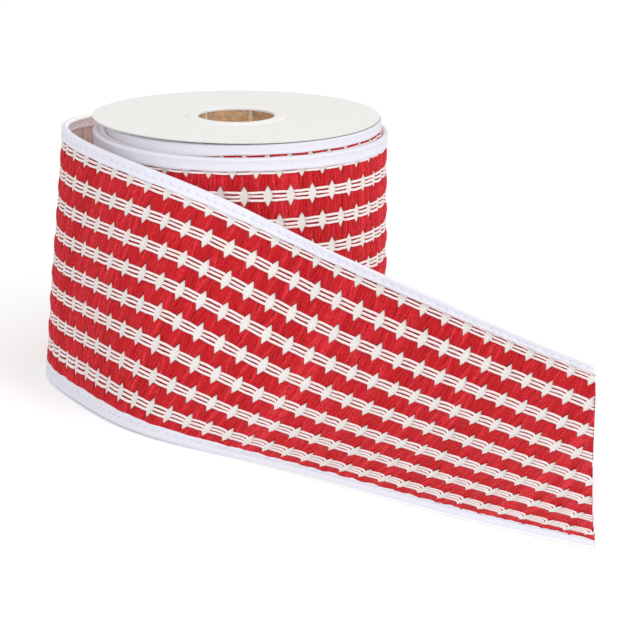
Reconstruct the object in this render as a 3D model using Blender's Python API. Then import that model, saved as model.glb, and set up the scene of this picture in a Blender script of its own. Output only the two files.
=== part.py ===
"""Roll of wired ribbon: a paperboard spool, the wound ribbon and its loose end.

Every size is in millimetres until a mesh is made. The spool's axis is vertical, the floor is z = 0
and the viewer of the photo looks along +Y. The whole is centred over the origin at the end.
"""

import math

import bmesh
import bpy
import numpy as np

MM = 0.001

# The ribbon, measured down its width from the top edge.
RIBBON_WIDTH = 101.6
BINDING_WIDTH = 6.5
ROW_PITCH = 12.0
FIRST_WHITE_ROW = 6.6
WHITE_ROWS = 8
RED_HEIGHT = 1.2
WHITE_HEIGHT = 0.5
BACK_DEPTH = 0.6
TONGUE_HALF = 0.4
CLEARANCE = 0.3

# The folded binding tape and the wire that rounds its rim.
TAPE_OUTER_HALF = 1.3
RIM_HALF = 1.5
RIM_ROUND = 1.5
RIM_NOSE_HALF = 0.8
SLOT_HALF = TONGUE_HALF + CLEARANCE
SLOT_FLOOR = 1.1

# The paperboard spool.
FLANGE_RADIUS = 59.5
FLANGE_THICKNESS = 1.2
FLANGE_EDGE_ROUND = 0.3
SPOOL_HEIGHT = 106.2
BORE_RADIUS = 15.9
RING_OUTER_RADIUS = 21.7
RING_RISE = 0.6
RING_SLOPE = 1.0
TUBE_INNER_RADIUS = 16.3
TUBE_WALL = 1.6
FLANGE_SEGMENTS = 64
TUBE_SEGMENTS = 40

# The wound turns: a spiral that steps down where the loose end leaves it.
ROLL_X = 1.5
ROLL_RADIUS = 59.7
TURN_THICKNESS = 1.2
LEAVING_ANGLE = 118.0
STEP_ANGLE = 4.0
ROLL_SEGMENTS = 60
OUTER_TURN_TOP = 100.5
OUTER_TURN_BINDING = 4.9
OUTER_TURN_ROWS = 102.7
OUTER_TURN_STRETCH = 0.967
OUTER_TURN_DEPTH = 1.3
RIM_BULGE = 0.6
ROLL_INNER_RADIUS = TUBE_INNER_RADIUS + TUBE_WALL + CLEARANCE
FLANGE_UNDERSIDE = SPOOL_HEIGHT - FLANGE_THICKNESS

# The loose end, a row for each section across it: how far along the ribbon it lies, and where the
# foot (on the floor), the middle and the head (top edge) of the ribbon are.
DRAPE_COLUMNS = ("run", "foot_x", "foot_y", "mid_x", "mid_y", "mid_z", "head_x", "head_y", "head_z")
DRAPE = (
    (-115, -29.7, 53.8, -29.7, 53.8, 51, -29.7, 53.8, 101.5),
    (-86, -53.5, 36.5, -53.5, 37.5, 51, -53.5, 38.5, 101.5),
    (-57.5, -72, 14, -70.5, 14.5, 51.5, -69.5, 15, 102),
    (-28.5, -78.5, -14, -74.5, -13.5, 51.5, -68, -13, 102),
    (0, -71, -42, -65, -40.5, 51, -52, -36.5, 99),
    (28.5, -58.5, -68.5, -48.5, -64, 50, -31, -55, 94.5),
    (57.5, -44.5, -93.5, -27.5, -83, 46.5, -5.5, -65.5, 86),
    (86, -25.5, -116.5, -2.5, -94.5, 37, 20, -76, 76),
    (115, -3, -136, 23, -104, 26.5, 44, -88, 67),
    (153, 26, -159, 55, -123.5, 18, 77, -104, 55),
    (191, 55, -182, 85, -146.5, 13.5, 109, -121.5, 44),
    (230, 83.5, -207, 114, -171, 10, 140, -142, 35.5),
    (297, 133, -250.5, 166, -213, 4, 195.5, -174.5, 21.5),
)
RUN_START = -115.0
RUN_END_AT_HEAD = 228.0
RUN_END_AT_FOOT = 293.0
LOOSE_STATIONS = 42

COLOURS = {
    "cloth": (0.62, 0.03, 0.05, 1.0),
    "binding": (0.80, 0.80, 0.86, 1.0),
    "board": (0.84, 0.83, 0.81, 1.0),
    "kraft": (0.42, 0.28, 0.17, 1.0),
}
ROUGHNESS = {"cloth": 0.9, "binding": 0.7, "board": 0.75, "kraft": 0.85}


def natural_spline(knots, values):
    """Return a function that gives the natural cubic through the values, and its slope."""
    knots = np.asarray(knots, float)
    values = np.asarray(values, float)
    gap = np.diff(knots)
    size = len(knots)
    system = np.eye(size)
    right = np.zeros_like(values)
    rise = np.diff(values, axis=0) / gap[:, None]
    for row in range(1, size - 1):
        system[row, row - 1] = gap[row - 1]
        system[row, row] = 2 * (gap[row - 1] + gap[row])
        system[row, row + 1] = gap[row]
        right[row] = 6 * (rise[row] - rise[row - 1])
    bend = np.linalg.solve(system, right)

    def at(place):
        cell = min(max(int(np.searchsorted(knots, place)) - 1, 0), size - 2)
        h = gap[cell]
        a = (knots[cell + 1] - place) / h
        b = (place - knots[cell]) / h
        low, high = values[cell], values[cell + 1]
        value = (a * low + b * high
                 + ((a**3 - a) * bend[cell] + (b**3 - b) * bend[cell + 1]) * h * h / 6)
        slope = ((high - low) / h
                 + ((1 - 3 * a * a) * bend[cell] + (3 * b * b - 1) * bend[cell + 1]) * h / 6)
        return value, slope

    return at


DRAPE_AT = natural_spline([row[0] for row in DRAPE], [row[1:] for row in DRAPE])


def drape_guides(numbers, floor):
    """Split one row of the table into its foot, middle and head points."""
    foot = np.array((numbers[0], numbers[1], floor))
    return foot, np.array(numbers[2:5]), np.array(numbers[5:8])


def drape_surface(run, down):
    """Point and outward normal of the loose end's middle layer, down its width from the top."""
    value, slope = DRAPE_AT(run)
    foot, middle, head = drape_guides(value, 0.0)
    foot_s, middle_s, head_s = drape_guides(slope, 0.0)
    t = 1 - down / RIBBON_WIDTH
    weights = (2 * (t - 0.5) * (t - 1), -4 * t * (t - 1), 2 * t * (t - 0.5))
    slopes = (4 * t - 3, 4 - 8 * t, 4 * t - 1)
    point = weights[0] * foot + weights[1] * middle + weights[2] * head
    along = weights[0] * foot_s + weights[1] * middle_s + weights[2] * head_s
    up = slopes[0] * foot + slopes[1] * middle + slopes[2] * head
    normal = np.cross(along, up)
    return point, normal / np.linalg.norm(normal)


def settle(run):
    """How far a section is raised for its lower rim to rest on the floor."""
    lowest = 0.0
    for down, out in RIM_CORNERS:
        point, normal = drape_surface(run, RIBBON_WIDTH - down)
        lowest = min(lowest, (point + normal * out)[2], (point - normal * out)[2])
    return -lowest


RIM_CORNERS = ((0.0, RIM_NOSE_HALF), (RIM_ROUND, RIM_HALF), (BINDING_WIDTH, TAPE_OUTER_HALF))


def cloth_profile():
    """Front face of the cloth from binding to binding: puffed red rows, sunk white rows."""
    start = BINDING_WIDTH + CLEARANCE
    end = RIBBON_WIDTH - BINDING_WIDTH - CLEARANCE
    profile = [(start, WHITE_HEIGHT)]
    for row in range(WHITE_ROWS):
        white = FIRST_WHITE_ROW + row * ROW_PITCH
        if white > start:
            profile.append((white, WHITE_HEIGHT))
        if white + ROW_PITCH / 2 < end:
            profile.append((white + ROW_PITCH / 2, RED_HEIGHT))
    profile.append((end, WHITE_HEIGHT))
    return profile


def loose_cloth_section():
    """Closed outline of the cloth, as (down the width, out from the middle layer)."""
    edge = SLOT_FLOOR + CLEARANCE
    step = 0.2
    front = cloth_profile()
    first, last = front[0][0], front[-1][0]
    outline = [(edge, TONGUE_HALF), (first - step, TONGUE_HALF)] + front
    outline += [(last + step, TONGUE_HALF), (RIBBON_WIDTH - edge, TONGUE_HALF)]
    outline += [(RIBBON_WIDTH - edge, -TONGUE_HALF), (last + step, -TONGUE_HALF), (last, -BACK_DEPTH)]
    outline += [(FIRST_WHITE_ROW + row * ROW_PITCH, -BACK_DEPTH) for row in range(WHITE_ROWS - 1, 0, -1)]
    outline += [(first, -BACK_DEPTH), (first - step, -TONGUE_HALF), (edge, -TONGUE_HALF)]
    return outline


def tape_section(at_head):
    """Closed outline of the tape folded over one edge of the cloth."""
    half = [(BINDING_WIDTH, SLOT_HALF), (BINDING_WIDTH, TAPE_OUTER_HALF), (RIM_ROUND, RIM_HALF),
            (0.0, RIM_NOSE_HALF)]
    outline = half + [(down, -out) for down, out in reversed(half)]
    outline += [(SLOT_FLOOR, -SLOT_HALF), (SLOT_FLOOR, SLOT_HALF)]
    if not at_head:
        outline = [(RIBBON_WIDTH - down, out) for down, out in reversed(outline)]
    return outline


def new_object(name, material, rings, closed_round):
    """Join rings of points into one closed body with its own material."""
    mesh = bpy.data.meshes.new(name)
    body = bmesh.new()
    rows = [[body.verts.new([c * MM for c in point]) for point in ring] for ring in rings]
    pairs = list(zip(rows, rows[1:] + rows[:1])) if closed_round else list(zip(rows, rows[1:]))
    for near, far in pairs:
        for i in range(len(near)):
            j = (i + 1) % len(near)
            body.faces.new((near[i], near[j], far[j], far[i]))
    if not closed_round:
        body.faces.new(list(reversed(rows[0])))
        body.faces.new(rows[-1])
    bmesh.ops.recalc_face_normals(body, faces=body.faces)
    bmesh.ops.triangulate(body, faces=body.faces)
    body.to_mesh(mesh)
    body.free()
    thing = bpy.data.objects.new(name, mesh)
    bpy.context.scene.collection.objects.link(thing)
    shader = bpy.data.materials.new(material)
    shader.use_nodes = True
    surface = shader.node_tree.nodes["Principled BSDF"]
    surface.inputs["Base Color"].default_value = COLOURS[material]
    surface.inputs["Roughness"].default_value = ROUGHNESS[material]
    mesh.materials.append(shader)
    return thing


def loose_strip(name, material, section):
    """Carry a section along the loose end, up to its slanted cut."""
    rings = []
    for station in range(LOOSE_STATIONS + 1):
        part = station / LOOSE_STATIONS
        ring = []
        for down, out in section:
            share = down / RIBBON_WIDTH
            run_end = RUN_END_AT_HEAD + (RUN_END_AT_FOOT - RUN_END_AT_HEAD) * share
            run = RUN_START + (run_end - RUN_START) * part
            point, normal = drape_surface(run, down)
            raised = point + normal * out
            raised[2] += settle(run)
            ring.append(raised)
        rings.append(ring)
    return new_object(name, material, rings, False)


def roll_radius(angle):
    """Radius of the outermost turn at an angle past the place where the loose end leaves."""
    grown = TURN_THICKNESS * min(angle / (360 - STEP_ANGLE), 1.0)
    if angle > 360 - STEP_ANGLE:
        grown *= (360 - angle) / STEP_ANGLE
    return ROLL_RADIUS + grown


def wound_ring(name, material, outer, inner):
    """Turn a section round the roll: outer points follow the spiral, inner ones the core."""
    plain = 360 - STEP_ANGLE
    angles = [plain * i / (ROLL_SEGMENTS - 1) for i in range(ROLL_SEGMENTS)]
    rings = []
    for angle in angles:
        turn = math.radians(LEAVING_ANGLE + angle)
        ring = [(ROLL_X + (roll_radius(angle) + out) * math.cos(turn),
                 (roll_radius(angle) + out) * math.sin(turn), height) for out, height in outer]
        ring += [(radius * math.cos(turn), radius * math.sin(turn), height)
                 for radius, height in inner]
        rings.append(ring)
    return new_object(name, material, rings, True)


def turned(name, material, profile, segments):
    """Turn a closed (radius, height) profile about the spool's axis."""
    rings = []
    for i in range(segments):
        turn = 2 * math.pi * i / segments
        rings.append([(r * math.cos(turn), r * math.sin(turn), z) for r, z in profile])
    return new_object(name, material, rings, True)


def build_spool():
    edge = FLANGE_EDGE_ROUND
    top, under = SPOOL_HEIGHT, FLANGE_UNDERSIDE
    turned("flange_top", "board", [
        (BORE_RADIUS, under), (BORE_RADIUS, top + RING_RISE),
        (RING_OUTER_RADIUS - RING_SLOPE, top + RING_RISE), (RING_OUTER_RADIUS, top),
        (FLANGE_RADIUS - edge, top), (FLANGE_RADIUS, top - edge),
        (FLANGE_RADIUS, under + edge), (FLANGE_RADIUS - edge, under)], FLANGE_SEGMENTS)
    turned("flange_bottom", "board", [
        (BORE_RADIUS, 0), (BORE_RADIUS, FLANGE_THICKNESS),
        (FLANGE_RADIUS, FLANGE_THICKNESS), (FLANGE_RADIUS, 0)], FLANGE_SEGMENTS)
    low, high = FLANGE_THICKNESS + CLEARANCE, FLANGE_UNDERSIDE - CLEARANCE
    outer = TUBE_INNER_RADIUS + TUBE_WALL
    turned("core_tube", "kraft", [
        (TUBE_INNER_RADIUS, low), (outer, low), (outer, high), (TUBE_INNER_RADIUS, high)],
        TUBE_SEGMENTS)


def outer_turn_height(down):
    """Height on the outer turn of a place down the ribbon's width."""
    return OUTER_TURN_ROWS - OUTER_TURN_STRETCH * down


def build_wound_ribbon():
    low = FLANGE_THICKNESS + CLEARANCE
    high = FLANGE_UNDERSIDE - CLEARANCE
    cloth_high = OUTER_TURN_TOP - OUTER_TURN_BINDING - CLEARANCE
    front = [(height - WHITE_HEIGHT, outer_turn_height(down)) for down, height in cloth_profile()]
    front = [(0, cloth_high)] + [point for point in front if point[1] < cloth_high - 1]
    cloth_low = front[-1][1]
    wound_ring("wound_cloth", "cloth", front,
               [(ROLL_INNER_RADIUS, cloth_low), (ROLL_INNER_RADIUS, cloth_high)])
    shoulder = RIM_ROUND
    wound_ring("wound_binding_top", "binding", [
        (0, cloth_high + CLEARANCE), (RIM_BULGE / 2, cloth_high + CLEARANCE + shoulder),
        (RIM_BULGE, OUTER_TURN_TOP - shoulder), (0, OUTER_TURN_TOP),
        (-OUTER_TURN_DEPTH, OUTER_TURN_TOP - CLEARANCE), (-OUTER_TURN_DEPTH, high - shoulder / 2),
        (-2 * OUTER_TURN_DEPTH, high)],
        [(ROLL_INNER_RADIUS, high), (ROLL_INNER_RADIUS, cloth_high + CLEARANCE)])
    foot = outer_turn_height(RIBBON_WIDTH)
    wound_ring("wound_binding_bottom", "binding", [
        (0, cloth_low - CLEARANCE), (RIM_BULGE, foot + shoulder), (0, foot),
        (-OUTER_TURN_DEPTH, foot + CLEARANCE), (-OUTER_TURN_DEPTH, low)],
        [(ROLL_INNER_RADIUS, low), (ROLL_INNER_RADIUS, cloth_low - CLEARANCE)])


def build_loose_end():
    loose_strip("loose_cloth", "cloth", loose_cloth_section())
    loose_strip("loose_binding_top", "binding", tape_section(True))
    loose_strip("loose_binding_bottom", "binding", tape_section(False))


def centre_over_origin(things):
    """Move every body so that the middle of the whole stands over the origin, on the floor."""
    corners = np.array([vertex.co for thing in things for vertex in thing.data.vertices])
    low, high = corners.min(axis=0), corners.max(axis=0)
    shift = ((low + high) / 2 * (1, 1, 0)) + (0, 0, low[2])
    for thing in things:
        for vertex in thing.data.vertices:
            vertex.co = vertex.co - type(vertex.co)(shift)


for old in list(bpy.data.objects):
    bpy.data.objects.remove(old, do_unlink=True)
build_spool()
build_wound_ribbon()
build_loose_end()
centre_over_origin([thing for thing in bpy.data.objects if thing.type == "MESH"])
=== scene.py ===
import math

import bpy
import numpy as np
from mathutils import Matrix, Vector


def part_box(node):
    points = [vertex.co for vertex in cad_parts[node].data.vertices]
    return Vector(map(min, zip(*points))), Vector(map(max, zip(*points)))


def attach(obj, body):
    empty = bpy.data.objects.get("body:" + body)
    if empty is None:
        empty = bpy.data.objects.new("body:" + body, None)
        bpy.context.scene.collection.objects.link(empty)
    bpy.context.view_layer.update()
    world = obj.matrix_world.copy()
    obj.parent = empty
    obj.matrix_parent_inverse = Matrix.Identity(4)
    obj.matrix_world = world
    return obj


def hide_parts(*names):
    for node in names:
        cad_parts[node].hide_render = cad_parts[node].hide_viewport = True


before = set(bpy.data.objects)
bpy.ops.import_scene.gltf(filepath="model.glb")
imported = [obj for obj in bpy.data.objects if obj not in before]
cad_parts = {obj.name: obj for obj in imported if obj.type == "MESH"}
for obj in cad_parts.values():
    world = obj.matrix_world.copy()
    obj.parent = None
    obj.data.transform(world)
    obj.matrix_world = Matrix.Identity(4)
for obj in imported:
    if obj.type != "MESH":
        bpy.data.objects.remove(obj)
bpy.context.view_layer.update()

# The looks of the roll of wired ribbon. Sizes are in millimetres until a mesh is made. A place on
# the ribbon is (run along it, down its width from the top edge, out from its middle layer), and
# three maps take it to the room: the loose end, the outer wound turn and the turns inside that.

MM = 0.001
SEED = 11

RIBBON_WIDTH = 101.6
ROW_PITCH = 12.0
FIRST_ROW = 6.6
ROWS = 8
PITCH = 9.57
YARNS_PER_PITCH = 6
BINDING = 6.3

SPOOL_HEIGHT = 106.2
FLANGE_RADIUS = 59.5
FLANGE_THICKNESS = 1.2
BOARD_BOW = 1.3
BOW_ANGLE = math.radians(205)
LOOK_THICKNESS = 0.6
BOARD_EDGE_ROUND = 0.25
BORE_RADIUS = 15.9
RING_RADIUS = 21.7
TUBE_INNER_RADIUS = 16.3
TUBE_WALL = 1.6
TUBE_CLEAR_FOOT = 0.1
TUBE_CLEAR_HEAD = 0.65

ROLL_X = 1.5
FACE_RADIUS = 60.2
START_RADIUS = 62.19
LEAVING_ANGLE = math.radians(120.1)
SLIP = 2.5
TURN_STEP = 1.2
TURN_LENGTH = 376.0
ROLL_TOP = 102.7
ROLL_STRETCH = 0.967
INNER_RISE = 1.8
TOP_SQUEEZE = 0.6
INNER_GAP = 0.7
INNER_SLACK = 2.7
LEFT_SINK = 3.0
DEEPER_SLACK = 0.5
RIM_FOOT = 95.0
RIM_SHARE = 0.87
RIGHT_SINK = 0.6
LEFT_RISE = 1.6
LEFT_PADDING = 2.2
TUCKED_FOOT = 101.1
TUCKED_SHARE = 0.67
DEEPER_RISE = 1.1

# Where the loose end begins, how high its top edge stands there, and where the cut ends it.
RUN_START = -115.0
START_TOP = 101.5
RUN_END_AT_HEAD = 227.4
RUN_END_AT_FOOT = 291.5
CUT_HOLLOW = 12.0

# The loose end's sections. Each row: how far along the ribbon, then its foot (on the floor), its
# middle and its head. These numbers aren't a hand-made design: a least-squares fit to the gaps seen
# in the photo gave them, rounded to half a millimetre, and the foot of the rows at 153, 191 and 230
# was then moved.
DRAPE = (
    (-115, -29.7, 53.8, -29.7, 53.8, 51, -29.7, 53.8, 101.5),
    (-86, -53.5, 36.5, -53.5, 37.5, 51, -53.5, 38.5, 101.5),
    (-57.5, -72, 14, -70.5, 14.5, 51.5, -69.5, 15, 102),
    (-28.5, -78.5, -14, -74.5, -13.5, 51.5, -68, -13, 102),
    (0, -71, -42, -65, -40.5, 51, -52, -36.5, 99),
    (28.5, -58.5, -68.5, -48.5, -64, 50, -31, -55, 94.5),
    (57.5, -44.5, -93.5, -27.5, -83, 46.5, -5.5, -65.5, 86),
    (86, -25.5, -116.5, -2.5, -94.5, 37, 20, -76, 76),
    (115, -3, -136, 23, -104, 26.5, 44, -88, 67),
    (153, 25.5, -160.5, 55, -123.5, 18, 77, -104, 55),
    (191, 53.5, -185.5, 85, -146.5, 13.5, 109, -121.5, 44),
    (230, 82, -211.5, 114, -171, 10, 140, -142, 35.5),
    (297, 133, -250.5, 166, -213, 4, 195.5, -174.5, 21.5),
)
LAST_ROW = FIRST_ROW + (ROWS - 1) * ROW_PITCH
LEFT_LIFT = 3.6
TAIL_LAG = 1.4
# How far the rows sag over the drape at the tail: (down the width, sag). Chosen from how
# far the gaps lay from those in the photo, like the lift and the lag above.
TAIL_SAG = ((0, 0.8), (6.6, -0.7), (18.6, -0.7), (30.6, 0.0), (54.6, 1.4), (78.6, 1.6),
            (90.6, 0.6), (101.6, 0.0))
RIM_CORNERS = ((0.0, 0.8), (1.5, 1.5), (6.5, 1.3))

low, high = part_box("flange_top")
SPOOL_AT = np.array(((low[0] + high[0]) / 2, (low[1] + high[1]) / 2, 0.0)) / MM
chance = np.random.default_rng(SEED)


def natural_spline(knots, values):
    """Return a function that gives the natural cubic through the values, and its slope."""
    knots, values = np.asarray(knots, float), np.asarray(values, float)
    gap = np.diff(knots)
    size = len(knots)
    system = np.eye(size)
    right = np.zeros_like(values)
    rise = np.diff(values, axis=0) / gap[:, None]
    for row in range(1, size - 1):
        system[row, row - 1] = gap[row - 1]
        system[row, row] = 2 * (gap[row - 1] + gap[row])
        system[row, row + 1] = gap[row]
        right[row] = 6 * (rise[row] - rise[row - 1])
    bend = np.linalg.solve(system, right)

    def at(places):
        places = np.asarray(places, float)
        cell = np.clip(np.searchsorted(knots, places) - 1, 0, size - 2)
        h = gap[cell][..., None]
        a = (knots[cell + 1] - places)[..., None] / h
        b = (places - knots[cell])[..., None] / h
        near, far = values[cell], values[cell + 1]
        value = (a * near + b * far
                 + ((a**3 - a) * bend[cell] + (b**3 - b) * bend[cell + 1]) * h * h / 6)
        slope = ((far - near) / h
                 + ((1 - 3 * a * a) * bend[cell] + (3 * b * b - 1) * bend[cell + 1]) * h / 6)
        return value, slope

    return at


TAIL_SAG_AT = natural_spline([row[0] for row in TAIL_SAG], [row[1:] for row in TAIL_SAG])
DRAPE_AT = natural_spline([row[0] for row in DRAPE], [row[1:] for row in DRAPE])


def smooth(x):
    """Ease from 0 to 1 with a level start and end."""
    x = np.clip(x, 0.0, 1.0)
    return x * x * (3 - 2 * x)


def guides(numbers):
    foot = np.concatenate([numbers[..., 0:2], np.zeros_like(numbers[..., :1])], axis=-1)
    return foot, numbers[..., 2:5], numbers[..., 5:8]


def drape_surface(run, down):
    """Point and outward normal of the loose end's middle layer."""
    run, down = np.broadcast_arrays(np.asarray(run, float), np.asarray(down, float))
    value, slope = DRAPE_AT(run)
    t = (1 - down / RIBBON_WIDTH)[..., None]
    weights = (2 * (t - 0.5) * (t - 1), -4 * t * (t - 1), 2 * t * (t - 0.5))
    slopes = (4 * t - 3, 4 - 8 * t, 4 * t - 1)
    point = sum(w * g for w, g in zip(weights, guides(value)))
    along = sum(w * g for w, g in zip(weights, guides(slope)))
    up = sum(w * g for w, g in zip(slopes, guides(value)))
    normal = np.cross(along, up)
    return point, normal / np.linalg.norm(normal, axis=-1, keepdims=True)


def settle_table():
    """How far each section is raised for its lower rim to rest on the floor."""
    runs = np.linspace(RUN_START, RUN_END_AT_FOOT + 5, 200)
    lowest = np.zeros_like(runs)
    for down, out in RIM_CORNERS:
        point, normal = drape_surface(runs, RIBBON_WIDTH - down)
        for side in (out, -out):
            lowest = np.minimum(lowest, (point + normal * side)[..., 2])
    return runs, -lowest


SETTLE_RUNS, SETTLE_LIFT = settle_table()


def eased(run, down):
    """Move the woven rows a little over the drape, where the real cloth is pulled or slack."""
    reach = 22 + 52 * (down / LAST_ROW) ** 2
    left = LEFT_LIFT * (down / LAST_ROW) ** 1.8 * (1 - smooth((run - 8) / reach))
    left = left * smooth((run - RUN_START) / 75)
    left = left * np.clip((RIBBON_WIDTH - down) / (RIBBON_WIDTH - LAST_ROW), 0, 1)
    share = smooth((run - 45) / 70)
    return (run + TAIL_LAG * smooth((down - 30) / 50) * smooth((run - 80) / 60),
            down - left + TAIL_SAG_AT(down)[0][..., 0] * share)


def on_loose(run, down, out):
    """A place on the loose end, in the room."""
    run, down, out = np.broadcast_arrays(*(np.asarray(x, float) for x in (run, down, out)))
    run, down = eased(run, down)
    point, normal = drape_surface(run, down)
    place = point + normal * out[..., None]
    place[..., 2] += np.interp(run, SETTLE_RUNS, SETTLE_LIFT)
    return place


def wound_terms(run):
    """How far back along the wound ribbon a place is, its angle, and how much it is wound."""
    back = RUN_START - run
    angle = LEAVING_ANGLE - (back + SLIP * (1 - np.exp(-back / 20))) / FACE_RADIUS
    wound = smooth(back / 50)
    inner = smooth((back / TURN_LENGTH - 1) / 0.06)
    deeper = smooth((back / TURN_LENGTH - 2) / 0.06)
    return back, angle, wound, inner, deeper


def wound_place(run, out, height):
    """Turn a place round the roll: the turns under the outer one lie slack on the left."""
    back, angle, wound, inner, deeper = wound_terms(run)
    loosened = (START_RADIUS - FACE_RADIUS) * np.exp(-(back / 40) ** 2)
    slack = (INNER_SLACK * inner + DEEPER_SLACK * deeper) * np.clip(-np.cos(angle), 0, 1) ** 2.2
    radius = (FACE_RADIUS + loosened - TURN_STEP * back / TURN_LENGTH - INNER_GAP * inner
              - slack + out)
    return np.stack([ROLL_X + radius * np.cos(angle), radius * np.sin(angle), height], axis=-1)


def left_sink(angle):
    """How much lower the slack inner turns stand on the left."""
    return LEFT_SINK * np.clip(-np.cos(angle), 0, 1)


def on_roll(run, down, out):
    """A place on the wound cloth that comes before the loose end."""
    run, down, out = np.broadcast_arrays(*(np.asarray(x, float) for x in (run, down, out)))
    back, angle, wound, inner, deeper = wound_terms(run)
    height = ROLL_TOP + (INNER_RISE - left_sink(angle)) * inner - ROLL_STRETCH * down
    height = height - TOP_SQUEEZE * smooth((15 - down) / 8) * (1 - inner)
    height = (1 - wound) * (START_TOP - down) + wound * height
    return wound_place(run, out, height)


def on_roll_edge(run, down, out):
    """The same for the bound edges, rolled over and pressed thin between the turns."""
    run, down, out = np.broadcast_arrays(*(np.asarray(x, float) for x in (run, down, out)))
    back, angle, wound, inner, deeper = wound_terms(run)
    left = np.clip(-np.cos(angle), 0, 1) ** 2
    right = np.clip(np.cos(angle), 0, 1) ** 2
    rolled = (RIM_FOOT + (BINDING - down) * RIM_SHARE + LEFT_RISE * left * (1 - down / BINDING)
              - RIGHT_SINK * right)
    tucked = (TUCKED_FOOT + (BINDING - down) * TUCKED_SHARE + DEEPER_RISE * left * deeper
              - left_sink(angle) * down / BINDING)
    height = (1 - wound) * (START_TOP - down) + wound * ((1 - inner) * rolled + inner * tucked)
    front = 1 + 0.1 * wound - 0.5 * inner
    behind = 1 - wound * (0.75 - LEFT_PADDING * left * (1 - inner))
    return wound_place(run, out * np.where(out > 0, front, behind), height)


def on_roll_foot(run, down, out):
    """The lower bound edge of the wound turns."""
    run, down, out = np.broadcast_arrays(*(np.asarray(x, float) for x in (run, down, out)))
    back, angle, wound, inner, deeper = wound_terms(run)
    height = (1 - wound) * (START_TOP - down) + wound * (ROLL_TOP - ROLL_STRETCH * down)
    front = 1 - 0.1 * wound - 0.45 * inner
    behind = 1 - 0.75 * wound
    return wound_place(run, out * np.where(out > 0, front, behind), height)


def cut_end(down):
    """Where the slanted, slightly hollow cut ends the ribbon."""
    share = down / RIBBON_WIDTH
    return (RUN_END_AT_HEAD + (RUN_END_AT_FOOT - RUN_END_AT_HEAD) * share
            - CUT_HOLLOW * share * (1 - share))


def add_mesh(name, points, faces, uvs, materials, face_material=None, smooth_faces=True):
    """Make one piece from points in the room, faces and a texture place for each point."""
    points = (np.asarray(points, float).reshape(-1, 3) + SPOOL_AT) * MM
    mesh = bpy.data.meshes.new(name)
    mesh.from_pydata(points.tolist(), [], np.asarray(faces).tolist()
                     if not isinstance(faces, list) else faces)
    layer = mesh.uv_layers.new(name="places")
    corners = np.zeros(len(mesh.loops), dtype=np.int32)
    mesh.loops.foreach_get("vertex_index", corners)
    layer.data.foreach_set("uv", np.asarray(uvs, float).reshape(-1, 2)[corners].ravel())
    for material in materials:
        mesh.materials.append(material)
    if face_material is not None:
        mesh.polygons.foreach_set("material_index", np.asarray(face_material, dtype=np.int32))
    mesh.polygons.foreach_set("use_smooth", [smooth_faces] * len(mesh.polygons))
    mesh.update()
    piece = bpy.data.objects.new(name, mesh)
    bpy.context.scene.collection.objects.link(piece)
    return piece


def strip_faces(count, length, width, closed=False):
    """Quads of `count` strips, each a grid of length x width points."""
    cells = width if closed else width - 1
    i, j = np.meshgrid(np.arange(length - 1), np.arange(cells), indexing="ij")
    k = (j + 1) % width
    quad = np.stack([i * width + j, (i + 1) * width + j, (i + 1) * width + k, i * width + k], -1)
    base = np.arange(count)[:, None, None] * length * width
    return (quad.reshape(1, -1, 4) + base).reshape(-1, 4)


def joined(parts):
    """Join (points, faces, uvs, material numbers) groups into one set."""
    points, faces, uvs, slots, start = [], [], [], [], 0
    for some_points, some_faces, some_uvs, slot in parts:
        some_points = np.asarray(some_points).reshape(-1, 3)
        points.append(some_points)
        faces += (np.asarray(some_faces) + start).tolist()
        uvs.append(np.asarray(some_uvs).reshape(-1, 2))
        slots += [slot] * len(some_faces)
        start += len(some_points)
    return np.concatenate(points), faces, np.concatenate(uvs), slots


class Nodes:
    """Short calls to build one node material."""

    def __init__(self, name, roughness, **settings):
        self.material = bpy.data.materials.new(name)
        self.material.use_nodes = True
        self.tree = self.material.node_tree
        self.shader = self.tree.nodes["Principled BSDF"]
        self.shader.inputs["Roughness"].default_value = roughness
        for key, value in settings.items():
            self.shader.inputs[key.replace("_", " ")].default_value = value

    def put(self, kind, values=None, **settings):
        node = self.tree.nodes.new(kind)
        for key, value in settings.items():
            setattr(node, key, value)
        for key, value in (values or {}).items():
            if isinstance(value, bpy.types.NodeSocket):
                self.tree.links.new(value, node.inputs[key])
            else:
                node.inputs[key].default_value = value
        return node

    def math(self, operation, first, second=0.0, third=0.0):
        node = self.put("ShaderNodeMath", {0: first, 1: second, 2: third}, operation=operation)
        return node.outputs[0]

    def mix(self, share, first, second):
        node = self.put("ShaderNodeMix", {0: share, 6: first, 7: second}, data_type="RGBA")
        return node.outputs[2]

    def noise(self, place, scale, detail=2.0, roughness=0.5):
        return self.put("ShaderNodeTexNoise", {"Vector": place, "Scale": scale, "Detail": detail,
                                               "Roughness": roughness}).outputs["Fac"]

    def step(self, value, start, end, low=0.0, high=1.0):
        return self.put("ShaderNodeMapRange", {0: value, 1: start, 2: end, 3: low, 4: high},
                        interpolation_type="SMOOTHSTEP").outputs[0]

    def uv(self):
        place = self.put("ShaderNodeTexCoord").outputs["UV"]
        parts = self.put("ShaderNodeSeparateXYZ", {0: place}).outputs
        return place, parts[0], parts[1]

    def stretched(self, x, y, z=0.0):
        return self.put("ShaderNodeCombineXYZ", {0: x, 1: y, 2: z}).outputs[0]

    def finish(self, colour, height, distance, strength=1.0):
        bump = self.put("ShaderNodeBump", {"Height": height, "Distance": distance,
                                           "Strength": strength})
        self.tree.links.new(bump.outputs[0], self.shader.inputs["Normal"])
        self.tree.links.new(colour, self.shader.inputs["Base Color"])
        return self.material


def rgb(red, green, blue):
    """Linear colour from 0-255 screen values."""
    def linear(value):
        value /= 255
        return value / 12.92 if value <= 0.04045 else ((value + 0.055) / 1.055) ** 2.4
    return linear(red), linear(green), linear(blue), 1.0


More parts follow.
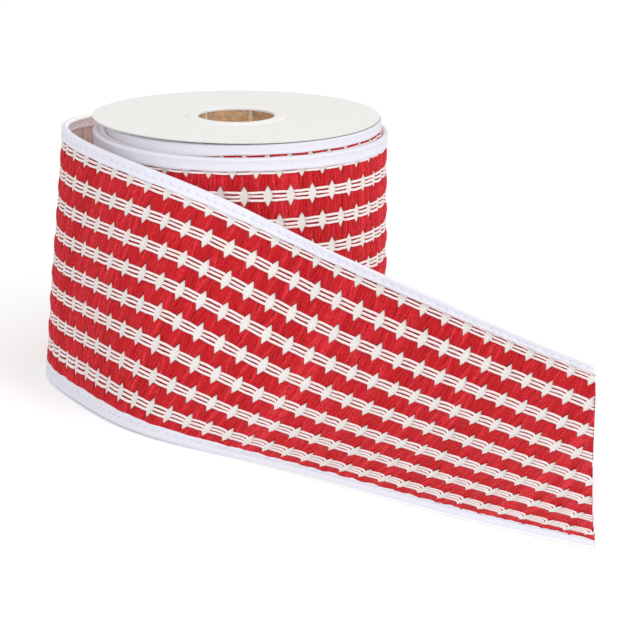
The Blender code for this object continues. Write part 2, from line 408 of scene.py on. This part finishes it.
def yarn_material():
    """Soft plied cotton: long fibres, faint slanted plies; dark between yarns and under cords as
    painted shade.
    """
    n = Nodes("red_yarn", 0.95, Sheen_Weight=0.08, Sheen_Roughness=0.35, Specular_IOR_Level=0.3)
    _, across, along = n.uv()
    number = n.math("FLOOR", across)
    side = n.math("SUBTRACT", across, number)
    tone = n.put("ShaderNodeTexWhiteNoise", {"W": number}, noise_dimensions="1D").outputs[0]
    turn = n.math("MULTIPLY_ADD", side, 1.2, n.math("MULTIPLY_ADD", along, 0.3, tone))
    ply = n.math("SINE", n.math("MULTIPLY", turn, 6.2832))
    slant = n.math("MULTIPLY_ADD", along, 0.25, n.math("MULTIPLY_ADD", side, 4.5, number))
    fibres = n.noise(n.stretched(slant, n.math("MULTIPLY", along, 0.6), tone), 1.5, 3.0, 0.7)
    patches = n.noise(n.stretched(n.math("MULTIPLY", number, 0.5),
                                  n.math("MULTIPLY", along, 0.2)), 1.0, 2.0)
    edge = n.math("ABSOLUTE", n.math("SUBTRACT", side, 0.5))
    # Painted shade: the yarn darkens towards both its sides, where it meets its neighbours.
    painted_crease_shade = n.step(edge, 0.25, 0.47)
    # Painted shade: the yarn darkens within about 3 mm of each white row's middle, where it runs
    # under the cords.
    beat = n.math("FRACT", n.math("DIVIDE", n.math("ADD", along, ROW_PITCH / 2 - FIRST_ROW),
                                  ROW_PITCH))
    away = n.math("ABSOLUTE", n.math("SUBTRACT", beat, 0.5))
    under = n.step(away, 0.14, 0.24, 1.0, 0.0)
    light = n.math("MULTIPLY_ADD", fibres, 1.15, n.math("MULTIPLY_ADD", ply, 0.02,
                   n.math("MULTIPLY_ADD", tone, 0.4, n.math("MULTIPLY", patches, 0.3))))
    light = n.math("MULTIPLY_ADD", painted_crease_shade, -0.7, light)
    colour = n.mix(n.step(light, 0.2, 0.85), rgb(140, 4, 12), rgb(184, 14, 26))
    colour = n.mix(n.step(light, 0.85, 1.35), colour, rgb(218, 52, 64))
    colour = n.mix(n.math("MULTIPLY", under, 0.7), colour, rgb(140, 34, 44))
    height = n.math("MULTIPLY_ADD", ply, 0.06, fibres)
    return n.finish(colour, height, 0.0006, 0.9)


def cord_material():
    n = Nodes("white_cord", 0.85, Sheen_Weight=0.1)
    _, across, along = n.uv()
    ply = n.math("SINE", n.math("MULTIPLY", n.math("MULTIPLY_ADD", across, 0.9,
                 n.math("MULTIPLY", along, 0.75)), 6.2832))
    fibres = n.noise(n.stretched(n.math("MULTIPLY", across, 4.0), n.math("MULTIPLY", along, 2.0)),
                     1.5, 2.0)
    edge = n.math("ABSOLUTE", n.math("SUBTRACT", n.math("FRACT", across), 0.5))
    colour = n.mix(n.step(edge, 0.2, 0.48), rgb(226, 214, 212), rgb(206, 160, 164))
    colour = n.mix(n.step(fibres, 0.35, 0.75, 0.0, 0.35), colour, rgb(212, 194, 194))
    return n.finish(colour, n.math("MULTIPLY_ADD", ply, 0.5, fibres), 0.0002, 0.6)


def weave(n, along, down, threads):
    """Plain weave height: warp and weft that pass over each other in turn."""
    warp = n.math("SINE", n.math("MULTIPLY", along, math.pi * threads))
    weft = n.math("SINE", n.math("MULTIPLY", down, math.pi * threads))
    over = n.math("MULTIPLY", warp, weft)
    return n.math("ADD", n.math("MULTIPLY", n.math("ABSOLUTE", warp), 0.5),
                  n.math("MULTIPLY_ADD", n.math("ABSOLUTE", weft), 0.5, over))


def ground_front_material():
    """White plain weave in the gaps, greyed as painted shade, and the under yarns' red round them,
    darkened as painted shade.
    """
    n = Nodes("ground_front", 0.9)
    place, along, down = n.uv()
    woven = weave(n, along, down, 1.8)
    spots = n.noise(place, 0.9, 3.0)
    # Painted shade: the weave is set greyer than the white cords, and darker where it lies low, for
    # the shade in the sunk gaps.
    colour = n.mix(n.step(woven, -0.4, 1.2), rgb(200, 198, 194), rgb(220, 219, 215))
    colour = n.mix(n.step(spots, 0.4, 0.8, 0.0, 0.25), colour, rgb(210, 198, 195))
    # Painted shade: round each white gap the ground is dark red, the red of the yarns lying under
    # it darkened for the shade between them.
    row = n.math("DIVIDE", n.math("SUBTRACT", down, FIRST_ROW), ROW_PITCH)
    near = n.math("ROUND", row)
    rise = n.math("MULTIPLY", n.math("ABSOLUTE", n.math("SUBTRACT", row, near)), ROW_PITCH / 4.7)
    shift = n.math("MULTIPLY", n.math("FLOORED_MODULO", near, 2.0), 0.5)
    beat = n.math("ADD", n.math("SUBTRACT", n.math("DIVIDE", along, PITCH), shift), 0.5)
    aside = n.math("ABSOLUTE", n.math("SUBTRACT", n.math("FRACT", beat), 0.5))
    reach = n.math("MULTIPLY_ADD", aside, PITCH / 2.25, rise)
    colour = n.mix(n.step(reach, 0.9, 1.06), colour, rgb(120, 12, 18))
    return n.finish(colour, woven, 0.0002, 0.5)


def ground_back_material():
    """The reverse, through whose sheer ground the red yarn shows as upright streaks, with a faint
    painted glow.
    """
    n = Nodes("ground_back", 0.9, Emission_Strength=PAINTED_THROUGH_GLOW,
              Emission_Color=rgb(226, 186, 180))
    place, along, down = n.uv()
    woven = weave(n, along, down, 1.8)
    streaks = n.noise(n.stretched(n.math("MULTIPLY", along, 1.0), n.math("MULTIPLY", down, 0.12)),
                      0.9, 3.0, 0.6)
    fine = n.noise(place, 2.2, 2.0)
    colour = n.mix(n.step(streaks, 0.3, 0.7), rgb(246, 228, 222), rgb(216, 180, 174))
    colour = n.mix(n.step(fine, 0.4, 0.8, 0.0, 0.5), colour, rgb(250, 238, 234))
    return n.finish(colour, n.math("ADD", woven, streaks), 0.0003, 0.6)


def tape_material(name, main, shade, hole_down, painted_glow=0.0):
    """Folded binding tape: close weave, soft puckers and a dent where each stitch dives, with
    painted shade in the dent.
    """
    # A glow above zero is painted light: an emission standing in for light that reaches a shaded
    # face.
    n = Nodes(name, 0.75, Sheen_Weight=0.15, Emission_Strength=painted_glow,
              Emission_Color=rgb(236, 214, 212))
    _, along, down = n.uv()
    grain = n.noise(n.stretched(n.math("MULTIPLY", along, 2.4), n.math("MULTIPLY", down, 2.4)),
                    1.0, 3.0, 0.6)
    pucker = n.noise(n.stretched(n.math("MULTIPLY", along, 0.35), n.math("MULTIPLY", down, 0.12)),
                     1.0, 1.0)
    fine = weave(n, along, down, 2.6)
    beat = n.math("SUBTRACT", n.math("FRACT", n.math("MULTIPLY", along, 0.25)), 0.5)
    reach = n.math("POWER", n.math("MULTIPLY", beat, 4.0), 2.0)
    aside = n.math("POWER", n.math("SUBTRACT", down, hole_down), 2.0)
    hole = n.step(n.math("ADD", reach, aside), 0.02, 0.45, 1.0, 0.0)
    colour = n.mix(n.step(grain, 0.3, 0.75), main, shade)
    # Painted shade: the tape turns blue-grey in each stitch dent.
    colour = n.mix(n.math("MULTIPLY", hole, 0.32), colour, rgb(176, 172, 196))
    height = n.math("MULTIPLY_ADD", grain, 0.35, n.math("MULTIPLY_ADD", fine, 0.1,
                    n.math("MULTIPLY_ADD", hole, -0.8, pucker)))
    return n.finish(colour, height, 0.0004, 0.7)


def board_material(name, main, shade, grain_scale):
    n = Nodes(name, 0.8)
    place = n.put("ShaderNodeTexCoord").outputs["Object"]
    fibres = n.noise(place, grain_scale, 4.0, 0.6)
    clouds = n.noise(place, 35.0, 2.0)
    colour = n.mix(n.step(fibres, 0.3, 0.75), main, shade)
    colour = n.mix(n.step(clouds, 0.3, 0.8, 0.0, 0.3), colour, shade)
    return n.finish(colour, fibres, 0.00008, 0.5)


def kraft_material():
    n = Nodes("core_board", 0.85)
    _, around, up = n.uv()
    seam = n.math("ABSOLUTE", n.math("SUBTRACT", n.math("FRACT", n.math(
        "MULTIPLY_ADD", up, 0.002, n.math("MULTIPLY_ADD", around, 5.0, 0.32))), 0.5))
    seam = n.step(seam, 0.02, 0.05, 1.0, 0.0)
    fibres = n.noise(n.stretched(n.math("MULTIPLY", around, 60.0), n.math("MULTIPLY", up, 0.4)),
                     1.0, 4.0, 0.65)
    clouds = n.noise(n.stretched(n.math("MULTIPLY", around, 12.0), n.math("MULTIPLY", up, 0.25)),
                     1.0, 3.0)
    colour = n.mix(n.step(fibres, 0.3, 0.75), rgb(172, 138, 104), rgb(208, 176, 140))
    colour = n.mix(n.step(clouds, 0.3, 0.6, 0.8, 0.0), colour, rgb(206, 142, 84))
    colour = n.mix(n.step(clouds, 0.5, 0.75, 0.0, 0.8), colour, rgb(136, 108, 92))
    colour = n.mix(n.math("MULTIPLY", seam, 0.7), colour, rgb(218, 206, 188))
    return n.finish(colour, n.math("MULTIPLY_ADD", seam, -0.6, fibres), 0.0003, 0.7)


def floor_material():
    n = Nodes("studio_floor", 0.9)
    place = n.put("ShaderNodeTexCoord").outputs["Object"]
    soft = n.noise(place, 6.0, 2.0)
    colour = n.mix(soft, (0.93, 0.93, 0.93, 1.0), (0.95, 0.95, 0.95, 1.0))
    return n.finish(colour, soft, 0.0001, 0.1)


# The cloth is thin: a faint painted glow on its reverse stands in for daylight coming through it.
PAINTED_THROUGH_GLOW = 0.13
YARN = yarn_material()
CORD = cord_material()
GROUND = ground_front_material()
REVERSE = ground_back_material()
TAPE = tape_material("edge_tape", rgb(215, 215, 224), rgb(203, 202, 215), 3.3)
PLAIN_TAPE = tape_material("edge_tape_plain", rgb(211, 210, 219), rgb(200, 198, 209), 40.0)
# The inner face of the tape is set lighter than the front tape and given a faint glow: painted
# light for the shaded inside of the loop.
TAPE_BACK_PAINTED_LIGHT = tape_material("edge_tape_back_painted_light", rgb(248, 240, 240), rgb(238, 224, 224), 3.3, 0.16)
THREAD = tape_material("stitch_thread", rgb(220, 220, 230), rgb(204, 204, 219), 40.0)
BOARD = board_material("white_board", rgb(220, 219, 217), rgb(216, 215, 212), 420.0)
BOARD_EDGE = board_material("board_edge", rgb(206, 204, 200), rgb(190, 188, 182), 900.0)
KRAFT = kraft_material()


def diamond_offset(row):
    """Where the gaps of a row lie along the ribbon, from run 0."""
    return 0.5 * PITCH * (row % 2)


def group_side(run, row):
    """Distance from the nearest yarn group's middle in that row."""
    place = (run - diamond_offset(row)) / PITCH - 0.5
    return (place - np.round(place)) * PITCH


def nearest_row(down):
    return np.clip(np.round((down - FIRST_ROW) / ROW_PITCH), 0, ROWS - 1)


GATHER = 0.4
GAP_REACH = 4.8
GAP_FULLNESS = 1.6
YARN_LOW = 0.62
YARN_HIGH = 1.15


def cut_down(run):
    """How far down the ribbon's width the slanted cut lies at a place along it."""
    downs = np.linspace(0, RIBBON_WIDTH, 60)
    return np.interp(run, cut_end(downs), downs, -RIBBON_WIDTH, RIBBON_WIDTH)


def yarn_strips(first, last, place, start_down=None, high_end=BINDING - 1.0,
                low_end=RIBBON_WIDTH - BINDING + 1.0, samples=66):
    """Half-round yarns across the ribbon, gathered under the white rows."""
    spacing = PITCH / YARNS_PER_PITCH
    numbers = np.arange(math.ceil(first / spacing - 0.5), math.floor(last / spacing - 0.5) + 1)
    base = (numbers + 0.5) * spacing
    share = np.linspace(0, 1, samples)[None, :]
    start = np.full(len(base), high_end) if start_down is None else np.maximum(
        high_end, start_down(base))
    keep = start < low_end - 2
    numbers, base, start = numbers[keep], base[keep], start[keep]
    down = start[:, None] + (low_end - start[:, None]) * share
    row = nearest_row(down)
    away = np.abs(down - FIRST_ROW - row * ROW_PITCH)
    side = group_side(base[:, None], row)
    pull = 1 - np.clip(away / GAP_REACH, 0, 1) ** GAP_FULLNESS
    count = len(base)
    phase = chance.uniform(0, 2 * math.pi, (3, count, 1))
    wander = (0.15 * np.sin(down * 0.42 + phase[0]) + 0.12 * np.sin(down * 0.83 + phase[1]))
    run = base[:, None] - GATHER * side * pull + wander * (1 - 0.5 * pull)
    puff = smooth((away - 1.4) / 3.6)
    lift = chance.uniform(-0.12, 0.16, (count, 1)) + 0.1 * np.sin(down * 0.6 + phase[2])
    height = YARN_LOW + (YARN_HIGH - YARN_LOW) * puff + lift * puff
    ends = np.minimum(smooth((down - high_end) / 2.2), smooth((low_end - down) / 2.2))
    height = YARN_LOW + (height - YARN_LOW) * ends
    half = spacing / 2 * (1 - GATHER * pull) * (1.08 + 0.16 * puff) + chance.uniform(
        -0.05, 0.1, (count, 1))
    bend = np.radians([0.0, 48.0, 90.0, 132.0, 180.0])
    run3 = run[..., None] - half[..., None] * np.cos(bend)
    out3 = 0.1 + (height[..., None] - 0.1) * np.sin(bend)
    down3 = np.broadcast_to(down[..., None], run3.shape)
    if start_down is not None:
        down3 = np.maximum(down3, np.minimum(start_down(run3), down[:, -1:, None]))
    points = place(run3, down3, out3)
    across = numbers[:, None, None] + 0.04 + 0.92 * np.linspace(0, 1, 5)
    uvs = np.stack([np.broadcast_to(across, run3.shape), down3], axis=-1)
    return points, strip_faces(count, samples, 5), uvs


CORD_SPREAD = 1.6
CORD_HALF = 0.58
CORD_HEIGHT = 0.42
CORD_INSET = (1.2, 1.6, 1.2)


def cord_strips(first, last, place, until=None, rows=ROWS):
    """Three white threads to a row: over each yarn group, and through the ground at each gap."""
    parts = []
    for row in range(rows):
        for lane in (-1, 0, 1):
            offset = diamond_offset(row)
            start = math.floor((first - offset) / PITCH)
            end = math.ceil((last - offset) / PITCH)
            inset = CORD_INSET[lane + 1]
            steps = np.array([0, inset - 0.3, inset, inset + 0.4, inset + 1.6])
            steps = np.concatenate([steps, [PITCH / 2], PITCH - steps[:0:-1]])
            runs = (np.arange(start, end)[:, None] * PITCH + offset + steps).ravel()
            down = FIRST_ROW + row * ROW_PITCH + lane * CORD_SPREAD
            stop = last if until is None else min(last, until(down))
            runs = runs[(runs > first) & (runs < stop)]
            runs = np.concatenate([[first], runs, [stop]])
            side = np.abs(group_side(runs, row))
            over = smooth((PITCH / 2 + 0.15 - inset - side) / 0.7)
            arch = 1 - (side / (PITCH / 2)) ** 2
            phase = chance.uniform(0, 2 * math.pi, 2)
            line = (down + lane * (0.22 * arch - 0.12) + 0.1 * np.sin(runs * 0.31 + phase[0])
                    + 0.05 * np.sin(runs * 1.3 + phase[1]))
            level = -0.35 + (YARN_LOW + 0.3) * over + 0.12 * arch
            bend = np.radians([-20.0, 35.0, 90.0, 145.0, 200.0])
            down3 = line[:, None] - CORD_HALF * np.cos(bend)
            out3 = level[:, None] + CORD_HEIGHT * np.sin(bend)
            run3 = np.broadcast_to(runs[:, None], down3.shape)
            points = place(run3, down3, out3)
            across = (row * 3 + lane + 1) + 0.05 + 0.9 * np.linspace(0, 1, 5)
            uvs = np.stack([np.broadcast_to(across, run3.shape), run3], axis=-1)
            parts.append((points, strip_faces(1, len(runs), 5), uvs, 0))
    return parts


SHEET_HALF = 0.15
SHEET_ROWS = 150
SHEET_COLUMNS = 27


def ground_sheet(first, last_at, place, head_down, foot_down):
    """A thin sheet, front and back, with its raw ends closed."""
    downs = np.linspace(head_down, foot_down, SHEET_COLUMNS)
    rows, columns = SHEET_ROWS, SHEET_COLUMNS
    share = np.linspace(0, 1, rows)[:, None]
    ends = np.array([last_at(down) for down in downs])[None, :]
    run = first + (ends - first) * share
    down = np.broadcast_to(downs, run.shape)
    uvs = np.stack([run, down], axis=-1)
    front, back = place(run, down, SHEET_HALF), place(run, down, -SHEET_HALF)
    faces = strip_faces(1, rows, columns)
    whole = rows * columns
    rim = ([(0, j) for j in range(columns)] + [(i, columns - 1) for i in range(1, rows)]
           + [(rows - 1, j) for j in range(columns - 2, -1, -1)]
           + [(i, 0) for i in range(rows - 2, 0, -1)])
    ring = [i * columns + j for i, j in rim]
    edge = [[a, b, b + whole, a + whole] for a, b in zip(ring, ring[1:] + ring[:1])]
    all_faces = faces.tolist() + (faces[:, ::-1] + whole).tolist() + edge
    slots = [0] * len(faces) + [1] * len(faces) + [1] * len(edge)
    return (np.concatenate([front.reshape(-1, 3), back.reshape(-1, 3)]), all_faces,
            np.concatenate([uvs.reshape(-1, 2)] * 2), slots)


# Tape folded over an edge: (down from the edge, out); the wire rounds its rim.
TAPE_SECTION = (
    (6.3, 0.35), (6.25, 1.15), (5.9, 1.38), (4.9, 1.32), (3.8, 1.12), (2.9, 1.3), (2.1, 1.2),
    (1.6, 1.42), (0.9, 1.5), (0.3, 1.15), (0.0, 0.45), (0.0, -0.45), (0.3, -1.15), (0.9, -1.5),
    (1.6, -1.35), (2.1, -0.95), (2.9, -0.85), (3.8, -0.7), (4.9, -0.85), (5.9, -0.9),
    (6.25, -0.7), (6.3, -0.2),
)
FRONT_CELLS = 11
RIM_DEPTH = 1.6


def top_tape_width(run):
    return np.interp(run, (-115, -60, 0, 60, 150, 230), (6.3, 5.0, 5.6, 6.1, 5.2, 4.7))


def low_tape_width(run):
    return np.interp(run, (-115, -60, 90, 190, 240), (6.3, 4.9, 4.9, 3.6, 3.0))


def tape_strip(first, last_at, place, section, at_foot, width_at=None, scallop=0.0, step=2.4):
    """Carry the tape section along an edge, with soft puckers between the stitches."""
    section = np.array(section)
    down = RIBBON_WIDTH - section[:, 0] if at_foot else section[:, 0]
    ends = np.array([last_at(d) for d in down])
    rows = int((ends.max() - first) / step) + 2
    share = np.linspace(0, 1, rows)[:, None]
    run = first + (ends[None, :] - first) * share
    flat = smooth((section[:, 0] - 1.6) / 1.5)[None, :] * np.sign(section[:, 1])[None, :]
    pucker = 0.07 * np.sin(run * math.pi / 2) + 0.06 * np.sin(run * 0.53 + 1.3)
    out = section[None, :, 1] + flat * pucker
    edge_wave = 0.12 * np.sin(run * 0.31) * smooth((section[:, 0] - 4) / 2)[None, :]
    beyond = np.maximum(section[:, 0] - RIM_DEPTH, 0)[None, :]
    scale = 1.0 if width_at is None else (width_at(run) - RIM_DEPTH) / (BINDING - RIM_DEPTH)
    into = np.minimum(section[:, 0], RIM_DEPTH)[None, :] + beyond * scale
    wave = np.cos(2 * math.pi * run / PITCH) * smooth((section[:, 0] - 4.5) / 1.5)[None, :]
    wave = wave * (0.15 + 0.85 * smooth((run - 90) / 100))
    into = into + edge_wave - scallop * wave
    down2 = RIBBON_WIDTH - into if at_foot else into
    points = place(run, down2, out)
    uvs = np.stack([run, np.broadcast_to(section[:, 0], run.shape)], axis=-1)
    width = len(section)
    faces = strip_faces(1, rows, width, closed=True)
    if at_foot:
        faces = faces[:, ::-1]
    caps = [list(range(width)), [(rows - 1) * width + i for i in range(width - 1, -1, -1)]]
    if at_foot:
        caps = [cap[::-1] for cap in caps]
    front = np.tile(np.arange(width) < FRONT_CELLS, rows - 1)
    slots = np.where(front, 0, 1).tolist() + [0, 0]
    return points, faces.tolist() + caps, uvs, slots


STITCH_PITCH = 4.0
STITCH_HALF = 0.2
STITCH_HEIGHT = 0.12
TOP_STITCH_LINE = 3.3
LOW_STITCH_LINE = RIBBON_WIDTH - 3.2
FRONT_STITCH_LEVEL = 1.12
BACK_STITCH_LEVEL = 0.72


def stitch_parts(first, last, place, line_down, level, sides=(1,)):
    """Short sunk stitches along a binding, from hole to hole."""
    parts = []
    for side in sides:
        middles = np.arange(math.ceil(first / STITCH_PITCH) * STITCH_PITCH + STITCH_PITCH,
                            last - 3, STITCH_PITCH)
        along = np.array([-1.75, -1.3, 0.0, 1.3, 1.75])
        sink = np.array([-0.32, 0.05, 0.14, 0.05, -0.32])
        bend = np.radians([0.0, 60.0, 120.0, 180.0])
        run3 = middles[:, None, None] + along[None, :, None] + 0 * bend
        down3 = line_down + 0 * run3 - STITCH_HALF * np.cos(bend)
        out3 = side * (level + sink[None, :, None] + STITCH_HEIGHT * np.sin(bend)) + 0 * run3
        points = place(run3, down3, out3)
        uvs = np.stack([run3, down3], axis=-1)
        parts.append((points, strip_faces(len(middles), 5, 4), uvs, 0))
    return parts


def turned_piece(name, profile, segments, materials, slots, bow=0.0):
    """Turn a closed (radius, height) profile about the spool's axis; a bow lifts one side."""
    profile = np.array(profile, float)
    turn = np.linspace(0, 2 * math.pi, segments + 1)[:, None]
    radius, height = profile[None, :, 0], profile[None, :, 1]
    lift = bow * (0.5 + 0.5 * np.cos(turn - BOW_ANGLE)) ** 3 * (radius / FLANGE_RADIUS) ** 1.5
    points = np.stack([radius * np.cos(turn), radius * np.sin(turn), height + lift], axis=-1)
    lengths = np.concatenate([[0], np.cumsum(np.linalg.norm(np.diff(profile, axis=0), axis=1))])
    uvs = np.stack([turn / (2 * math.pi) + 0 * height, lengths[None, :] + 0 * turn], axis=-1)
    width = len(profile)
    faces = strip_faces(1, segments + 1, width, closed=True)
    numbers = np.tile(np.array(slots), segments)
    return add_mesh(name, points, faces.tolist(), uvs, materials, numbers, smooth_faces=False)


def rounded(centre_r, centre_z, radius, start, end, count=5):
    """Points of a rounded corner of a profile, by angles in degrees."""
    turns = np.radians(np.linspace(start, end, count))
    return [(centre_r + radius * math.cos(a), centre_z + radius * math.sin(a)) for a in turns]


def build_flange(name, under, top, ring_up, node, bow=0.0):
    edge = BOARD_EDGE_ROUND
    face = [(BORE_RADIUS, top + 0.15), (BORE_RADIUS + 0.5, top + 0.45),
            (BORE_RADIUS + 1.3, top + 0.55), (RING_RADIUS - 2.4, top + 0.5),
            (RING_RADIUS - 1.3, top + 0.2), (RING_RADIUS - 0.6, top - 0.15),
            (RING_RADIUS + 0.1, top - 0.15), (RING_RADIUS + 0.8, top + 0.05),
            (RING_RADIUS + 2.0, top)]
    if not ring_up:
        face = [(BORE_RADIUS, top)]
    rim = rounded(FLANGE_RADIUS - edge, top - edge, edge, 90, 0) + rounded(
        FLANGE_RADIUS - edge, under + edge, edge, 0, -90)
    profile = face + rim + [(BORE_RADIUS, under)]
    slots = [0] * (len(face) + 1) + [1] * (len(rim) - 2) + [0] * 2
    piece = turned_piece(name, profile, 192, [BOARD, BOARD_EDGE], slots[:len(profile)], bow)
    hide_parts(node)
    return piece


def build_spool():
    top = build_flange("board_top", SPOOL_HEIGHT - LOOK_THICKNESS, SPOOL_HEIGHT, True,
                       "flange_top", BOARD_BOW)
    bottom = build_flange("board_bottom", 0.0, FLANGE_THICKNESS, False, "flange_bottom")
    low = FLANGE_THICKNESS + TUBE_CLEAR_FOOT
    high = SPOOL_HEIGHT - TUBE_CLEAR_HEAD
    outer = TUBE_INNER_RADIUS + TUBE_WALL
    profile = [(TUBE_INNER_RADIUS, low), (outer, low), (outer, high), (TUBE_INNER_RADIUS, high)]
    tube = turned_piece("core_board_tube", profile, 96, [KRAFT], [0] * 4)
    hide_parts("core_tube")
    return [top, bottom, tube]


ROLL_FIRST = RUN_START - TURN_LENGTH
EDGE_FIRST = RUN_START - 3 * TURN_LENGTH
FILL_OUTER = 54.0
FILL_INNER = 18.2
FILL_TOP = 103.6
FILL_FOOT = 5.0


def build_fill():
    """The ends of the many inner turns, which only show through the slits at the flanges."""
    steps = np.arange(FILL_INNER, FILL_OUTER + 0.01, TURN_STEP / 2)
    ridge = 0.35 * (np.arange(len(steps)) % 2)
    profile = list(zip(steps, FILL_TOP + ridge))
    profile += [(radius, FILL_FOOT - rise) for radius, rise in reversed(list(zip(steps, ridge)))]
    return turned_piece("roll_inner_turns", profile, 96, [TAPE], [0] * len(profile))


def build_ribbon():
    loose_yarns = yarn_strips(RUN_START, RUN_END_AT_FOOT, on_loose, cut_down, 3.6,
                              RIBBON_WIDTH - 2.6, 70)
    yarn_piece = add_mesh("loose_yarns", *loose_yarns, [YARN])
    roll_yarns = add_mesh("roll_yarns", *yarn_strips(ROLL_FIRST, RUN_START, on_roll), [YARN])

    points, faces, uvs, slots = joined(cord_strips(RUN_START, RUN_END_AT_FOOT, on_loose, cut_end))
    cord_piece = add_mesh("loose_cords", points, faces, uvs, [CORD], slots)
    points, faces, uvs, slots = joined(cord_strips(ROLL_FIRST, RUN_START, on_roll))
    roll_cords = add_mesh("roll_cords", points, faces, uvs, [CORD], slots)

    points, faces, uvs, slots = ground_sheet(RUN_START, cut_end, on_loose, 1.2, RIBBON_WIDTH - 1.2)
    loose_ground = add_mesh("loose_ground", points, faces, uvs, [GROUND, REVERSE], slots)
    points, faces, uvs, slots = ground_sheet(ROLL_FIRST, lambda down: RUN_START, on_roll, 2.5,
                                             RIBBON_WIDTH - 1.2)
    roll_ground = add_mesh("roll_ground", points, faces, uvs, [GROUND, REVERSE], slots)

    tapes = []
    for name, at_foot in (("loose_tape_top", False), ("loose_tape_bottom", True)):
        points, faces, uvs, slots = tape_strip(
            RUN_START, cut_end, on_loose, TAPE_SECTION, at_foot,
            low_tape_width if at_foot else top_tape_width, 0.5 if at_foot else 0.0, 1.6)
        tapes.append(add_mesh(name, points, faces, uvs, [TAPE, TAPE_BACK_PAINTED_LIGHT], slots))
    stitches = []
    for down in (TOP_STITCH_LINE, LOW_STITCH_LINE):
        last = cut_end(down)
        stitches += stitch_parts(RUN_START, last, on_loose, down, FRONT_STITCH_LEVEL)
        stitches += stitch_parts(RUN_START, last, on_loose, down, BACK_STITCH_LEVEL, (-1,))
    points, faces, uvs, slots = joined(stitches)
    loose_stitches = add_mesh("loose_stitches", points, faces, uvs, [THREAD], slots)

    points, faces, uvs, slots = tape_strip(EDGE_FIRST, lambda down: RUN_START, on_roll_edge,
                                           TAPE_SECTION, False)
    roll_top = add_mesh("roll_tape_top", points, faces, uvs, [PLAIN_TAPE, TAPE_BACK_PAINTED_LIGHT], slots)
    points, faces, uvs, slots = tape_strip(EDGE_FIRST, lambda down: RUN_START, on_roll_foot,
                                           TAPE_SECTION, True)
    roll_bottom = add_mesh("roll_tape_bottom", points, faces, uvs, [TAPE, TAPE_BACK_PAINTED_LIGHT], slots)
    fill = build_fill()

    tucked_first = ROLL_FIRST - TURN_LENGTH
    strips = yarn_strips(tucked_first, ROLL_FIRST, on_roll, None, 3.4, 11.0, 10)
    cords = cord_strips(tucked_first, ROLL_FIRST, on_roll, rows=1)
    sheet = ground_sheet(tucked_first, lambda down: ROLL_FIRST, on_roll, 2.0, 10.0)
    points, faces, uvs, slots = joined(
        [strips + (0,)] + [part[:3] + (1,) for part in cords] + [sheet[:3] + (2,)])
    tucked = add_mesh("roll_tucked_row", points, faces, uvs, [YARN, CORD, GROUND], slots)

    for piece, node, slot in (
            (loose_ground, "loose_cloth", "cloth"), (roll_ground, "wound_cloth", "cloth"),
            (tapes[0], "loose_binding_top", "binding"),
            (tapes[1], "loose_binding_bottom", "binding"),
            (roll_top, "wound_binding_top", "binding"),
            (roll_bottom, "wound_binding_bottom", "binding")):
        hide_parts(node)

    return [yarn_piece, roll_yarns, cord_piece, roll_cords, loose_ground, roll_ground,
            loose_stitches, roll_top, roll_bottom, fill, tucked] + tapes


for piece in build_spool() + build_ribbon():
    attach(piece, "root")


# The floor, the soft studio light and the photo's point of view.
FLOOR_HALF = 6.0
ring = [(-FLOOR_HALF, -FLOOR_HALF, 0), (FLOOR_HALF, -FLOOR_HALF, 0), (FLOOR_HALF, FLOOR_HALF, 0),
        (-FLOOR_HALF, FLOOR_HALF, 0)]
floor_mesh = bpy.data.meshes.new("studio_floor")
floor_mesh.from_pydata(ring, [], [(0, 1, 2, 3)])
floor_mesh.materials.append(floor_material())
floor = bpy.data.objects.new("studio_floor", floor_mesh)
bpy.context.scene.collection.objects.link(floor)

bpy.context.scene.view_settings.view_transform = "Standard"
world = bpy.data.worlds.new("studio")
world.use_nodes = True
sky = world.node_tree.nodes["Background"]
sky.inputs["Color"].default_value = (1.0, 1.0, 1.0, 1.0)
sky.inputs["Strength"].default_value = 1.0
bpy.context.scene.world = world


def add_light(name, place, aim, size, power):
    lamp = bpy.data.lights.new(name, "AREA")
    lamp.shape = "DISK"
    lamp.size = size
    lamp.energy = power
    thing = bpy.data.objects.new(name, lamp)
    thing.location = place
    direction = np.array(aim) - np.array(place)
    direction = direction / np.linalg.norm(direction)
    thing.rotation_euler = (math.acos(-direction[2]), 0.0, math.atan2(-direction[0], direction[1]))
    bpy.context.scene.collection.objects.link(thing)


LIGHT_AIM = (0, 0, 0.05)
add_light("key", (-0.15, -1.7, 0.8), LIGHT_AIM, 0.9, 8.0)
add_light("fill", (1.2, -1.1, 0.9), LIGHT_AIM, 1.2, 12.0)

VIEW_AT = np.array((34.67, -1290.0, 348.09))
VIEW_DOWN = 0.2498
FOCAL_PIXELS = 3164.3
PHOTO_PIXELS = 640
SENSOR = 36.0
lens = bpy.data.cameras.new("view")
lens.sensor_width = SENSOR
lens.lens = FOCAL_PIXELS / PHOTO_PIXELS * SENSOR
lens.clip_end = 30.0
camera = bpy.data.objects.new("view", lens)
camera.location = (VIEW_AT + SPOOL_AT) * MM
camera.rotation_euler = (math.pi / 2 - VIEW_DOWN, 0.0, 0.0)
bpy.context.scene.collection.objects.link(camera)
bpy.context.scene.camera = camera
